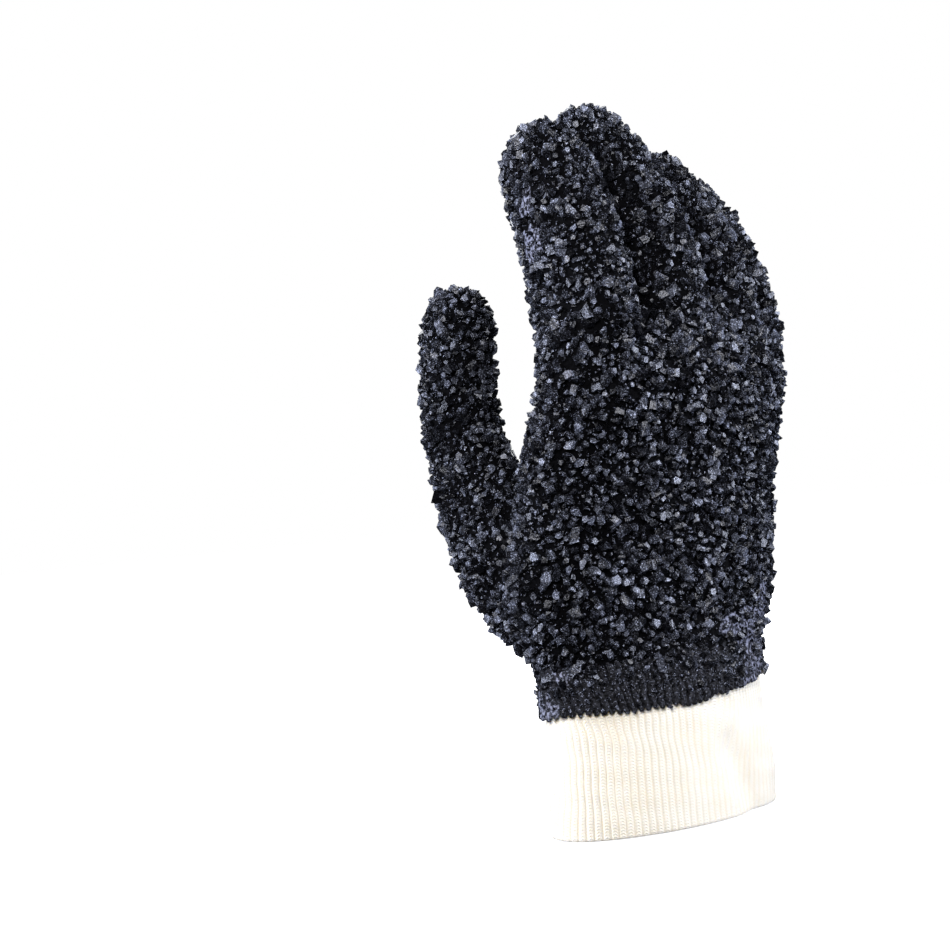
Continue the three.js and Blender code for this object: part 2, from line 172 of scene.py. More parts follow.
class CrumbSizes(PropertyGroup):
    """Sizes of the PVC crumb."""

    chip: metres("Chip", "Half width of a chip", 0.0015)
    spacing: metres("Spacing", "Least space between chips", 0.0025)
    grit: metres("Grit", "Half width of the fine crumb", 0.00085)
    grit_spacing: metres("Grit spacing", "Least space in the fine crumb", 0.0016)


class GloveColours(PropertyGroup):
    """Colours of the glove and its floor."""

    crumb: tint("Crumb", "Black PVC crumb", (0.0014, 0.0014, 0.002))
    # Paler chips, and the colour of the painted glints on the crumb and the band.
    pale_crumb_and_painted_glint: tint("Light crumb", "Paler chips", (0.37, 0.41, 0.56))
    gap: tint("Gap", "Coating between the chips", (0.001, 0.001, 0.0014))
    band: tint("Band", "Paler spots of the band", (0.011, 0.0115, 0.016))
    # The blue-grey painted sheen of smooth PVC where it ran.
    coating: tint("Coating", "Smooth PVC where it ran", (0.2, 0.214, 0.3))
    knit: tint("Knit", "Cream cotton knit", (0.76, 0.73, 0.66))
    # A darker colour for the valleys between the ribs.
    valley: tint("Valley", "Yarn between the ribs", (0.7, 0.62, 0.5))
    floor: tint("Floor", "Pale floor", (0.9, 0.9, 0.9))


class StageSizes(PropertyGroup):
    """Where the camera stands."""

    turn: degrees("Turn", "Camera's turn to the thumb side", 38)
    distance: metres("Distance", "Camera to glove", 0.62)
    height: metres("Height", "Camera's height", 0.125)
    scale: metres("Scale", "Width of a pixel at the glove", 0.000365)
    roll: degrees("Lean", "The glove's lean to the left", 5)


class Socket:
    """A number that varies over a surface. Arithmetic on it adds Math nodes."""

    def __init__(self, finish, output):
        self.finish = finish
        self.output = output

    def maths(self, operation, *values):
        return self.finish.node("ShaderNodeMath", {"operation": operation}, dict(enumerate(values)))

    def __add__(self, other):
        return self.maths("ADD", self, other)

    __radd__ = __add__

    def __mul__(self, other):
        return self.maths("MULTIPLY", self, other)

    __rmul__ = __mul__

    def __sub__(self, other):
        return self.maths("SUBTRACT", self, other)

    def __rsub__(self, other):
        return self.maths("SUBTRACT", other, self)

    def __pow__(self, other):
        return self.maths("POWER", self, other)

    def size(self):
        return self.maths("ABSOLUTE", self)

    def fraction(self):
        return self.maths("FRACT", self)

    def wave(self):
        """A sine from -1 to 1, which goes once round for each whole number."""
        return self.maths("SINE", 2 * math.pi * self)

    def between(self, low, high):
        """0 below low, 1 above high and a smooth rise between the two."""
        settings = {"interpolation_type": "SMOOTHSTEP", "clamp": True}
        inputs = {"Value": self, "From Min": low, "From Max": high}
        return self.finish.node("ShaderNodeMapRange", settings, inputs)


# The numbers of a Mix node's two colours and of its mixed colour, because several sockets share a name.
FIRST_COLOUR = 6
SECOND_COLOUR = 7
MIXED_COLOUR = 2


class Finish:
    """A material under construction, with one method that adds any node."""

    def __init__(self, name):
        self.material = bpy.data.materials.new(name)
        self.material.use_nodes = True
        self.tree = self.material.node_tree
        self.shader = self.tree.nodes["Principled BSDF"]

    def fill(self, socket, value):
        if isinstance(value, Socket):
            self.tree.links.new(value.output, socket)
        elif socket.type == "RGBA" and len(value) == 3:
            socket.default_value = (*value, 1.0)
        else:
            socket.default_value = value

    def node(self, kind, settings, inputs, output=0):
        """Adds a node, sets its settings and then its inputs, and returns one of its outputs."""
        node = self.tree.nodes.new(kind)
        for name, value in settings.items():
            setattr(node, name, value)
        for name, value in inputs.items():
            self.fill(node.inputs[name], value)
        return Socket(self, node.outputs[output])

    def place(self):
        return self.node("ShaderNodeTexCoord", {}, {}, "Object")

    def noise(self, scale, detail):
        inputs = {"Vector": self.place(), "Scale": scale, "Detail": detail}
        return self.node("ShaderNodeTexNoise", {}, inputs, "Fac")

    def attribute(self, name):
        return self.node("ShaderNodeAttribute", {"attribute_name": name}, {}, "Fac")

    def mix(self, share, first, second):
        """A colour between two, by share."""
        inputs = {"Factor": share, FIRST_COLOUR: first, SECOND_COLOUR: second}
        return self.node("ShaderNodeMix", {"data_type": "RGBA"}, inputs, MIXED_COLOUR)

    def bump(self, height, distance, strength=1.0):
        inputs = {"Height": height, "Distance": distance, "Strength": strength}
        return self.node("ShaderNodeBump", {}, inputs, "Normal")

    def finish(self, **inputs):
        """Fills the shader's sockets, named with underscores for spaces, and returns the material."""
        for name, value in inputs.items():
            self.fill(self.shader.inputs[name.replace("_", " ")], value)
        return self.material


def add_piece(name, points, faces, material, smooth):
    """A mesh object of points and equal-sided faces, which rides on the glove's one body."""
    mesh = bpy.data.meshes.new(name)
    mesh.vertices.add(len(points))
    mesh.vertices.foreach_set("co", np.ascontiguousarray(points, np.float32).ravel())
    mesh.loops.add(faces.size)
    mesh.loops.foreach_set("vertex_index", np.ascontiguousarray(faces, np.int32).ravel())
    mesh.polygons.add(len(faces))
    mesh.polygons.foreach_set("loop_start", np.arange(0, faces.size, faces.shape[1], dtype=np.int32))
    mesh.update(calc_edges=True)
    mesh.validate()
    if smooth:
        mesh.shade_smooth()
    else:
        mesh.shade_flat()
    mesh.materials.append(material)
    piece = bpy.data.objects.new(name, mesh)
    bpy.context.scene.collection.objects.link(piece)
    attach(piece, "root")
    return piece


def add_attribute(piece, name, values):
    """A number for each point of a piece."""
    layer = piece.data.attributes.new(name, "FLOAT", "POINT")
    layer.data.foreach_set("value", np.ascontiguousarray(values, np.float32))


def add_uv(piece, across, up):
    """A UV map from two numbers for each corner."""
    layer = piece.data.uv_layers.new(name="knit")
    layer.data.foreach_set("uv", np.stack([across, up], axis=-1).astype(np.float32).ravel())


def smoothstep(value, low, high):
    """0 below low, 1 above high, and 3t^2 - 2t^3 between, where t is the share of the way."""
    share = np.clip((value - low) / (high - low), 0.0, 1.0)
    return share * share * (3.0 - 2.0 * share)


def bell(distance, reach):
    """A Gauss bell: 1 at no distance, and 1/e at its reach."""
    return np.exp(-((distance / reach) ** 2))


NOISE_TABLE = np.random.default_rng(SEED).random(4096)
NOISE_STEPS = np.array((1, 73, 1361))


def lattice_noise(points, cell):
    """A smooth random value from 0 to 1 at each point.

    Space is cut into cells. Each cell corner has a value of the table, and inside a cell its eight corners
    are blended by the smooth share along each axis.
    """
    place = points / np.array(cell)
    base = np.floor(place).astype(np.int64)
    share = smoothstep(place - base, 0.0, 1.0)
    total = np.zeros(len(points))
    for corner in product((0, 1), repeat=3):
        weight = np.where(corner, share, 1.0 - share).prod(axis=1)
        total += weight * NOISE_TABLE[(base + corner) @ NOISE_STEPS % len(NOISE_TABLE)]
    return total


def smooth_share(points):
    """How smooth the coating is at each point: the largest of the patches' bells, broken up by noise."""
    share = np.zeros(len(points))
    for patch in SMOOTH_PATCHES:
        distance = np.linalg.norm(points - np.array(patch["at"]) * MM, axis=1)
        share = np.maximum(share, patch["share"] * bell(distance, patch["reach"] * MM))
    broken = share + SMEAR_BREAK * (lattice_noise(points, SMEAR_CELL) - 0.5)
    return smoothstep(broken, *SMEAR_EDGE) * smoothstep(share, *SMEAR_LIMIT)


ELLIPSE_STEPS = 4097


def ellipse_angles(turn, cuff):
    """Angles on the cuff's ellipse at equal arc lengths.

    The ellipse is walked in fine steps, its length is summed, and each turn from 0 to 1 is looked up as
    that share of the whole length. Turns past 0 or 1 go round again.
    """
    steps = np.linspace(0.0, 2.0 * np.pi, ELLIPSE_STEPS)
    speed = np.hypot(cuff.width / 2 * np.sin(steps), cuff.depth / 2 * np.cos(steps))
    length = np.concatenate([[0.0], np.cumsum((speed[1:] + speed[:-1]) / 2)])
    whole = np.floor(turn)
    return np.interp(turn - whole, length / length[-1], steps) + whole * 2.0 * np.pi


def girth(cuff):
    """About how far it is round the cuff: pi times the mean of its width and depth."""
    return (cuff.width + cuff.depth) / 2 * np.pi


def fold_depth(turn, height, cuff):
    """How far the folds press the cuff inwards.

    Each fold is a Gauss bell over the distance to its line, on the cuff laid flat, and all of them fade
    out below the coating.
    """
    scale = np.array([girth(cuff), cuff.bare])
    press = np.zeros(height.shape)
    for fold in CUFF_FOLDS:
        start = fold["start"] * scale
        along = fold["end"] * scale - start
        x = turn * scale[0] - start[0]
        y = height - start[1]
        share = np.clip((x * along[0] + y * along[1]) / (along @ along), 0.0, 1.0)
        distance = np.hypot(x - share * along[0], y - share * along[1])
        press += fold["deep"] * cuff.depth * bell(distance, fold["wide"] * cuff.width)
    return press * (1.0 - smoothstep(height / cuff.bare, *FOLDS_FADE))


def cuff_place(turn, height, offset, cuff):
    """A place off the cuff's wall: the ellipse's point, moved along its outward normal."""
    angle = ellipse_angles(turn, cuff)
    x = cuff.width / 2 * np.cos(angle)
    y = cuff.depth / 2 * np.sin(angle)
    out = np.stack([x / cuff.width**2, y / cuff.depth**2], axis=-1)
    out /= np.linalg.norm(out, axis=-1, keepdims=True)
    flat = np.stack([x, y], axis=-1) + out * offset[..., None]
    return np.concatenate([flat, height[..., None]], axis=-1)


def mouth_flare(height, cuff):
    """How far the cuff widens: by the flare at its mouth and not at all at the dip line."""
    return cuff.flare * (1.0 - smoothstep(height / cuff.bare, 0.0, 1.0))


def tube_faces(rows, columns):
    """Quads of a grid that closes both ways, so that a profile's last row meets its first."""
    row, column = np.meshgrid(np.arange(rows), np.arange(columns), indexing="ij")
    next_row = (row + 1) % rows
    next_column = (column + 1) % columns
    corners = [row * columns + column, row * columns + next_column]
    corners += [next_row * columns + next_column, next_row * columns + column]
    return np.stack(corners, axis=-1).reshape(-1, 4)


VALLEY_POWER = 8


def rib_valley(rib):
    """1 in the middle between two ribs and 0 on a rib: an even power of a cosine."""
    return np.cos(np.pi * rib) ** VALLEY_POWER


# Slow waves of the ribs: how tall a wave is in metres, its turns round the cuff, and its share.
WAVES = ({"tall": 0.031, "round": 3, "share": 1.0}, {"tall": 0.013, "round": 7, "share": 0.5})


def rib_wander(turn, height, cuff):
    """How many turns a rib strays: slow waves up the cuff, and a Gauss bell round it for each slant."""
    wave = sum(w["share"] * np.sin(2 * np.pi * (height / w["tall"] + w["round"] * turn)) for w in WAVES)
    stray = cuff.wander / girth(cuff) * wave * np.minimum(1.0, height / cuff.bare)
    for slant in RIB_SLANTS:
        side = bell(turn - slant["turn"], slant["wide"])
        stray = stray + slant["shift"] * side * smoothstep(height, *slant["heights"])
    return stray


# Steps across a rib, rows of points in the cuff's profile, and the power that squares the hem's half circle.
RIB_STEPS = 9
OUTER_ROWS = 58
INNER_ROWS = 14
HEM_ROWS = 9
HEM_SQUARE = 0.5

# The ribs' relief inside is this share of the outside's. The fine unevenness is this deep in metres, times
# a wave for each row here, which goes so often round and turns by so many radians for each metre up.
INSIDE_RELIEF = 0.4
UNEVEN_DEPTH = 0.00012
UNEVEN_WAVES = ({"round": 9, "up": 420}, {"round": 5, "up": -260})


def build_cuff(cuff):
    """The knit cuff as a profile carried round the ellipse.

    The profile runs down the inside, round the hem on a squared half circle, up the outside and back across
    the top. Outside, the ribs' valleys, the folds and a fine unevenness press in.
    """
    top = CUFF_TOP - cuff.hem / 4
    columns = cuff.ribs * RIB_STEPS
    arc = np.linspace(0.0, np.pi, HEM_ROWS + 2)[1:-1]
    half = cuff.wall / 2
    height = np.concatenate([
        np.linspace(top, cuff.hem, INNER_ROWS),
        cuff.hem - cuff.hem * np.sin(arc) ** HEM_SQUARE,
        np.linspace(cuff.hem, top, OUTER_ROWS),
    ])
    offset = np.concatenate([
        np.full(INNER_ROWS, -cuff.wall),
        -half - half * np.sign(np.cos(arc)) * np.abs(np.cos(arc)) ** HEM_SQUARE,
        np.zeros(OUTER_ROWS),
    ])[:, None]
    outer = np.concatenate([np.zeros(INNER_ROWS), np.sin(arc / 2) ** 2, np.ones(OUTER_ROWS)])[:, None]
    turns, heights = np.meshgrid(np.arange(columns) / columns, height)
    rib = (turns + rib_wander(turns, heights, cuff)) * cuff.ribs
    uneven = UNEVEN_DEPTH
    for wave in UNEVEN_WAVES:
        uneven = uneven * np.sin(wave["round"] * (2 * np.pi * turns) + heights * wave["up"])
    relief = cuff.relief * rib_valley(rib) * (INSIDE_RELIEF + (1.0 - INSIDE_RELIEF) * outer)
    depth = relief - uneven * outer
    press = fold_depth(turns, heights, cuff)
    places = cuff_place(turns, heights, offset - depth - press + mouth_flare(heights, cuff), cuff)
    return places.reshape(-1, 3), tube_faces(len(height), columns), rib, heights


# The knit's pattern, across in ribs and up in stitches: how far a rib zigzags and a stitch slants, and how
# dark a valley is at least. Blotches tint the ribs by a share, and dots and fuzz stand out by so many
# stitches' heights. An edge, here and below, is where a pattern starts and where it is full.
ZIGZAG = 0.05
SLANT = 1.6
LEAST_DARK = 0.3
VALLEY_EDGE = (0.2, 0.46)
BLOTCH_EDGE = (0.35, 0.7)
BLOTCH_SHARE = 0.25
BLOTCH_TINT = (0.97, 0.94, 0.88)
DOT_HEIGHT = 0.35
FUZZ_HEIGHT = 0.5


def knit_finish(colours):
    """Cream rib knit: slanted stitches up each rib, a darker dotted colour between the ribs, soft fuzz."""
    finish = Finish("rib_knit")
    uv = finish.node("ShaderNodeUVMap", {"uv_map": "knit"}, {})
    across, up = (finish.node("ShaderNodeSeparateXYZ", {}, {"Vector": uv}, axis) for axis in (0, 1))
    from_rib = ((across + ZIGZAG * up.wave()).fraction() - 0.5).size()
    valley = from_rib.between(*VALLEY_EDGE)
    stitch = (up + SLANT * from_rib).wave() * 0.5 + 0.5
    dots = up.wave() * 0.5 + 0.5
    blotch = finish.noise(scale=60.0, detail=3.0).between(*BLOTCH_EDGE)
    fuzz = finish.noise(scale=2600.0, detail=2.0)
    dotted, blotched = (LEAST_DARK + (1 - LEAST_DARK) * pattern for pattern in (dots, blotch))
    tinted = [channel * share for channel, share in zip(colours.knit, BLOTCH_TINT)]
    cream = finish.mix(blotch * BLOTCH_SHARE, colours.knit, tinted)
    height = stitch * (1 - valley) + DOT_HEIGHT * dots * valley + FUZZ_HEIGHT * fuzz
    return finish.finish(
        Base_Color=finish.mix(valley * dotted * blotched, cream, colours.valley),
        Roughness=0.95,
        Normal=finish.bump(height, distance=0.00022, strength=0.8),
        Sheen_Weight=0.2,
        Sheen_Roughness=0.5,
        Subsurface_Weight=0.4,
        Subsurface_Radius=(0.0016, 0.0014, 0.001),
        Subsurface_Scale=1.0,
    )


class GLOVE_OT_cuff(Operator):
    """Make the rib-knit cuff"""

    bl_idname = "glove.cuff"
    bl_label = "Knit cuff"

    def execute(self, context):
        cuff = context.scene.glove_cuff
        points, faces, rib, heights = build_cuff(cuff)
        piece = add_piece("rib_cuff", points, faces, knit_finish(context.scene.glove_colours), smooth=True)
        across = rib.ravel()[faces]
        across = np.where(across - across[:, :1] < -cuff.ribs / 2, across + cuff.ribs, across)
        up = (heights / cuff.stitch).ravel()[faces]
        add_uv(piece, across.ravel(), up.ravel())
        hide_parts("knit_cuff")
        return {"FINISHED"}


# The coating's lower edge: cells of the noise of its teeth and its shreds, how much a tooth strays, and the
# noise that a shred starts at.
TOOTH_CELL = 0.0045
TOOTH_STRAY = 1.2
SHRED_CELL = 0.0011
SHRED_FROM = 0.35


def dip_line(turn, cuff, coating):
    """The height of the coating's lower edge: a slope, a sag in the middle, and a tooth on each rib.

    At the frayed corner the edge hangs lower, in fine shreds.
    """
    angle = ellipse_angles(turn, cuff)
    x = cuff.width / 2 * np.cos(angle)
    sag = coating.sag * (1 - (2 * x / cuff.width) ** 2)
    place = np.stack([x, cuff.depth / 2 * np.sin(angle), np.zeros_like(x)], axis=-1)
    stray = TOOTH_STRAY * (lattice_noise(place, TOOTH_CELL) - 0.5)
    tooth = coating.ragged * (rib_valley(turn * cuff.ribs) + stray)
    shreds = lattice_noise(place, SHRED_CELL) - SHRED_FROM
    drop = FRAY["drop"] * bell(turn - FRAY["turn"], FRAY["wide"]) * (1 + shreds)
    return cuff.bare + coating.slope * x / cuff.width - sag + tooth - drop


# The band's ribs lean by so many turns over its height. The lean grows and then fades between these turns.
BAND_LEAN = 0.042
LEAN_GROWS = (0.3, 0.5)
LEAN_FADES = (0.5, 0.84)


def band_lean(turn):
    """How far the ribs lean, in turns: most beside the thumb, and none further round."""
    return BAND_LEAN * (1.0 - smoothstep(turn, *LEAN_FADES)) * smoothstep(turn, *LEAN_GROWS)


# Rows up the band's face and round its lip, and the cell and height of each size of lump. A groove is so
# many times the ribs' relief, and loses this share of it higher up. Fades of the grooves and of their
# painted shade, and the tuck that takes the band's top in under the crumb, are between shares of its height.
BAND_ROWS = 48
LIP_ROWS = 6
BAND_LUMPS = ((0.0021, 0.00035), (0.0011, 0.00045), (0.0007, 0.0003))
BAND_GROOVE = 2.7
GROOVE_LOSS = 0.8
GROOVE_FADES = (0.45, 0.95)
PAINTED_SHADE_FADES = (0.3, 0.9)
BAND_TUCK = 0.0012
TUCK_GROWS = (0.82, 1.0)


def build_band(coating, cuff):
    """The dipped band as a profile carried round the cuff.

    The profile runs down the back, round the lip on a half circle and up the face to the band's top. The
    face follows the ribs below it, which lean and fade out upwards, and carries lumps of three sizes. At
    the frayed corner it flares out. Each point comes with the painted shade of its groove.
    """
    columns = cuff.ribs * RIB_STEPS
    turn = np.arange(columns) / columns
    low = dip_line(turn, cuff, coating)
    half = (coating.band_out - coating.band_gap) / 2
    arc = np.linspace(0.0, np.pi, LIP_ROWS + 2)[1:-1]
    share = np.linspace(0.0, 1.0, BAND_ROWS)
    face = low[None] + half + (coating.band_top - low[None] - half) * share[:, None]
    lip = low[None] + half - half * np.sin(arc)[:, None]
    back = np.stack([np.full(columns, coating.band_top - BAND_TUCK), low + half])
    heights = np.concatenate([back, lip, face])
    rise = np.clip((heights - low) / (coating.band_top - low), 0.0, 1.0)
    outward = np.concatenate([np.zeros(2), 0.5 - 0.5 * np.cos(arc), np.ones(BAND_ROWS)])[:, None]
    turns = np.broadcast_to(turn, heights.shape)
    rib = (turns + rib_wander(turns, heights, cuff) + band_lean(turns) * rise) * cuff.ribs
    valley = rib_valley(rib)
    groove = BAND_GROOVE * cuff.relief * valley * (1.0 - GROOVE_LOSS * smoothstep(rise, *GROOVE_FADES))
    plain = cuff_place(turns, heights, np.zeros(heights.shape), cuff).reshape(-1, 3)
    lumps = sum(high * (lattice_noise(plain, cell) - 0.5) for cell, high in BAND_LUMPS)
    tuck = BAND_TUCK * smoothstep(rise, *TUCK_GROWS)
    offset = outward * (coating.band_out - coating.band_gap - groove + lumps.reshape(heights.shape) - tuck)
    flare = FRAY["out"] * bell(turns - FRAY["turn"], FRAY["wide"]) * (1.0 - rise) ** 2
    press = fold_depth(turns, heights, cuff)
    places = cuff_place(turns, heights, coating.band_gap + offset + flare - press, cuff)
    # Painted shade for the band's grooves: dark in the rib valleys of its face, fading upwards.
    painted_groove_shade = np.sqrt(valley) * outward * (1.0 - smoothstep(rise, *PAINTED_SHADE_FADES))
    return places.reshape(-1, 3), tube_faces(len(heights), columns), painted_groove_shade.ravel()


PIT_EDGE = (0.44, 0.6)
PVC_TINT = (0.84, 0.86, 1.0)


def smear(finish, noise, ragged, edge):
    """How smeared a place is: the smooth share that it carries, with its edge made ragged by noise."""
    return (finish.attribute("smooth") + ragged * (noise - 0.5)).between(*edge)


# The band's lumps turn pale and carry painted glints, pale specks for highlights, of this share. A smear
# fills the grooves' painted shade and evens the grain out by these shares. Rough is the least roughness and
# what the grain adds.
PALE_EDGE = (0.4, 0.65)
BAND_PAINTED_GLINT_EDGE = (0.6, 0.68)
BAND_PAINTED_GLINTS = 0.7
SMEAR_FILLS = 0.6
SMEAR_EVENS = 0.5
BAND_ROUGH = {"least": 0.3, "grain": 0.35}


def band_finish(colours):
    """Dipped band: thin PVC over the ribs, finest grain, painted glints, grey painted sheen in places."""
    finish = Finish("pvc_band")
    grain = finish.noise(scale=1500.0, detail=4.0)
    lumps = finish.noise(scale=520.0, detail=3.0)
    pits = finish.noise(scale=900.0, detail=4.0)
    # Painted glints: pale specks that stand in for highlights on the band.
    painted_glint = finish.noise(scale=1700.0, detail=3.0).between(*BAND_PAINTED_GLINT_EDGE)
    smeared = smear(finish, finish.noise(scale=620.0, detail=4.0), ragged=1.3, edge=(0.42, 0.6))
    dull = finish.mix(lumps.between(*PALE_EDGE), colours.crumb, colours.band)
    dull = finish.mix(painted_glint * BAND_PAINTED_GLINTS, dull, colours.pale_crumb_and_painted_glint)
    # Where the coating ran smooth, a grey painted sheen stands in for its highlights.
    painted_sheen = finish.mix(pits.between(*PIT_EDGE), colours.band, colours.coating)
    colour = finish.mix(smeared, dull, painted_sheen)
    # Painted shade in the grooves, less where a smear fills them.
    groove = finish.attribute("groove") * (1 - SMEAR_FILLS * smeared)
    return finish.finish(
        Base_Color=finish.mix(groove, colour, colours.gap),
        Roughness=BAND_ROUGH["least"] + BAND_ROUGH["grain"] * grain,
        Normal=finish.bump(grain * (1 - SMEAR_EVENS * smeared) + lumps, distance=0.0008),
        Specular_IOR_Level=0.22,
        Specular_Tint=PVC_TINT,
    )


class GLOVE_OT_band(Operator):
    """Make the ribbed band of thin coating over the cuff's top"""

    bl_idname = "glove.band"
    bl_label = "Dipped band"

    def execute(self, context):
        scene = context.scene
        points, faces, groove = build_band(scene.glove_coating, scene.glove_cuff)
        band = add_piece("dipped_band", points, faces, band_finish(scene.glove_colours), smooth=True)
        add_attribute(band, "smooth", smooth_share(points))
        # The groove attribute holds the painted shade of the band's grooves.
        add_attribute(band, "groove", groove)
        return {"FINISHED"}


def neighbour_mean(values, edges):
    """The mean of each point's neighbours along the edges."""
    total = np.zeros_like(values)
    count = np.zeros(len(values))
    for a, b in ((0, 1), (1, 0)):
        count += np.bincount(edges[:, a], minlength=len(values))
        for axis in range(values.shape[1]):
            total[:, axis] += np.bincount(edges[:, a], values[edges[:, b], axis], len(values))
    return total / np.maximum(count, 1)[:, None]


def evened_out(points, edges, passes):
    """The points after so many passes, each of which moves them halfway to their neighbours' mean."""
    evened = points.copy()
    for _ in range(passes):
        evened += 0.5 * (neighbour_mean(evened, edges) - evened)
    return evened


def mesh_numbers(items, name, kind, width):
    """An array of a mesh's own numbers, so many for each item."""
    numbers = np.zeros(len(items) * width, kind)
    items.foreach_get(name, numbers)
    return numbers.reshape(-1, width)


def area_vectors(points, triangles):
    """Each triangle's area vector, twice as long as its area: the cross product of two of its sides."""
    corners = points[triangles][:, :, :3]
    return np.cross(corners[:, 1] - corners[:, 0], corners[:, 2] - corners[:, 0])


SHORTEST = 1e-12


def point_normals(points, triangles):
    """Each point's normal: the sum of its triangles' area vectors, made one long."""
    area = area_vectors(points, triangles)
    total = np.zeros_like(points)
    for corner, axis in product(range(3), repeat=2):
        total[:, axis] += np.bincount(triangles[:, corner], area[:, axis], len(points))
    return total / np.maximum(np.linalg.norm(total, axis=1, keepdims=True), SHORTEST)


# A crease, where the chips get painted shade, is found by evening the surface out so many times. It counts
# from the first depth below the evened surface and is full at the second.
CREASE_PASSES = 100
CREASE_DEPTHS = (0.0003, 0.0013)


def crease_share(points, edges, normals):
    """How far each point lies in a crease: how deep it is below the surface evened out many times over."""
    evened = evened_out(points, edges, CREASE_PASSES)
    return smoothstep(((evened - points) * normals).sum(axis=1), *CREASE_DEPTHS)


RIM_HEIGHT = 0.062
RIM_MARGIN = 0.005


def outer_points(points, edges, normals):
    """Which points lie outside.

    Above the rim, what the highest point reaches along the edges. Below it and just above it, what faces
    away from the axis.
    """
    above = points[:, 2] > RIM_HEIGHT
    outside = np.zeros(len(points), bool)
    outside[np.argmax(points[:, 2])] = True
    usable = edges[above[edges].all(axis=1)]
    found = 0
    while outside.sum() != found:
        found = outside.sum()
        reached = outside[usable].any(axis=1)
        outside[usable[reached].ravel()] = True
    radial = (points[:, :2] * normals[:, :2]).sum(axis=1) > 0
    near_rim = points[:, 2] < RIM_HEIGHT + RIM_MARGIN
    return np.where(above, outside | (radial & near_rim), radial)


MERGE_DISTANCE = 1e-6


def remeshed_hand(coating):
    """A copy of the hand's solid, merged and made again on an even grid of voxels."""
    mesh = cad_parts["coated_hand"].data.copy()
    merged = bmesh.new()
    merged.from_mesh(mesh)
    bmesh.ops.remove_doubles(merged, verts=merged.verts, dist=MERGE_DISTANCE)
    merged.to_mesh(mesh)
    merged.free()
    copy = bpy.data.objects.new("hand_copy", mesh)
    bpy.context.scene.collection.objects.link(copy)
    grid = copy.modifiers.new("grid", "REMESH")
    grid.mode = "VOXEL"
    grid.voxel_size = coating.voxel
    evaluated = copy.evaluated_get(bpy.context.evaluated_depsgraph_get())
    made = bpy.data.meshes.new_from_object(evaluated)
    bpy.data.objects.remove(copy)
    return made


EVENING_PASSES = 4

# The skin sinks by this share of its sink where it meets the band, and by all of it above these heights.
# Where the coating ran smooth, this share of the sink is left out.
SINK_AT_BAND = 0.25
SINK_GROWS = (0.062, 0.085)
SMOOTH_LIFT = 0.85

# The skin's rim hides inside the band: it lies this much deeper below the first height, and no deeper above
# the second. What is lower than the reach above the bare cuff keeps this share of its distance from there.
RIM_TUCK = 0.0016
RIM_TUCKED = (0.0552, 0.0595)
SQUEEZE_REACH = 0.01
SQUEEZE_KEEPS = 0.3


def build_skin(coating, cuff):
    """The coating's skin: the remeshed hand, evened out, drawn in under the crumb and tucked into the band.

    Outer points move in by the sink, and by less where the coating ran smooth. Low down they are squeezed
    up, so that the rim ends inside the band. The points come with a fourth number, their crease.
    """
    mesh = remeshed_hand(coating)
    mesh.calc_loop_triangles()
    edges = mesh_numbers(mesh.edges, "vertices", np.int32, 2)
    triangles = mesh_numbers(mesh.loop_triangles, "vertices", np.int32, 3)
    points = mesh_numbers(mesh.vertices, "co", np.float32, 3).astype(float)
    points = evened_out(points, edges, EVENING_PASSES)
    normals = point_normals(points, triangles)
    outside = outer_points(points, edges, normals)
    creases = crease_share(points, edges, normals)
    depth = coating.sink * outside * (1.0 - SMOOTH_LIFT * smooth_share(points))
    depth *= SINK_AT_BAND + (1.0 - SINK_AT_BAND) * smoothstep(points[:, 2], *SINK_GROWS)
    depth += RIM_TUCK * outside * (1.0 - smoothstep(points[:, 2], *RIM_TUCKED))
    points -= normals * depth[:, None]
    start = cuff.bare + SQUEEZE_REACH
    low = points[:, 2] < start
    points[low, 2] = start - (start - points[low, 2]) * SQUEEZE_KEEPS
    mesh.vertices.foreach_set("co", points.astype(np.float32).ravel())
    mesh.update()
    return mesh, np.column_stack([points, creases]), triangles, outside


# Roughness of the black coating, what a smear takes off it and the pits add, and roughness of the cloth.
COATING_ROUGH = {"black": 0.8, "smear": 0.35, "pits": 0.15, "cloth": 0.9}
CLOTH_SHADE = 0.8


def coating_finish(colours):
    """Dipped PVC: painted grey sheen where it ran smooth, pitted black between the crumb, cloth inside."""
    finish = Finish("pvc_coating")
    rough = COATING_ROUGH
    lining = finish.attribute("lining")
    pits = finish.noise(scale=900.0, detail=4.0)
    lumps = finish.noise(scale=330.0, detail=3.0)
    weave = finish.noise(scale=420.0, detail=3.0)
    smeared = smear(finish, finish.noise(scale=1100.0, detail=3.0), ragged=0.7, edge=(0.3, 0.55))
    # Where the coating ran smooth, a grey painted sheen stands in for its highlights.
    painted_sheen = finish.mix(pits.between(*PIT_EDGE), colours.band, colours.coating)
    black = finish.mix(smeared, colours.gap, painted_sheen)
    cloth = finish.mix(weave, colours.knit, [channel * CLOTH_SHADE for channel in colours.knit])
    outside = rough["black"] - rough["smear"] * smeared + rough["pits"] * pits
    return finish.finish(
        Base_Color=finish.mix(lining, black, cloth),
        Roughness=outside * (1 - lining) + rough["cloth"] * lining,
        Normal=finish.bump(pits + lumps, distance=0.0008),
        Specular_IOR_Level=0.06,
        Specular_Tint=PVC_TINT,
    )


# The uneven part of a chip's colour goes with this power of its tone, which carries painted shade too.
# Mottling takes up to this share off it, painted glints stand in for highlights, and the palest chips of
# all turn warm. Rough is as for the band.
TONE_POWER = 3.5
MOTTLED = 0.5
MOTTLE_EDGE = (0.36, 0.6)
PAINTED_GLINT_EDGE = (0.57, 0.64)
WARM_EDGE = (0.992, 0.996)
WARM_SHARE = 0.3
WARM_COLOUR = (0.07, 0.056, 0.04)
CRUMB_ROUGH = {"least": 0.14, "grain": 0.24}
CRUMB_TINT = (0.82, 0.86, 1.0)


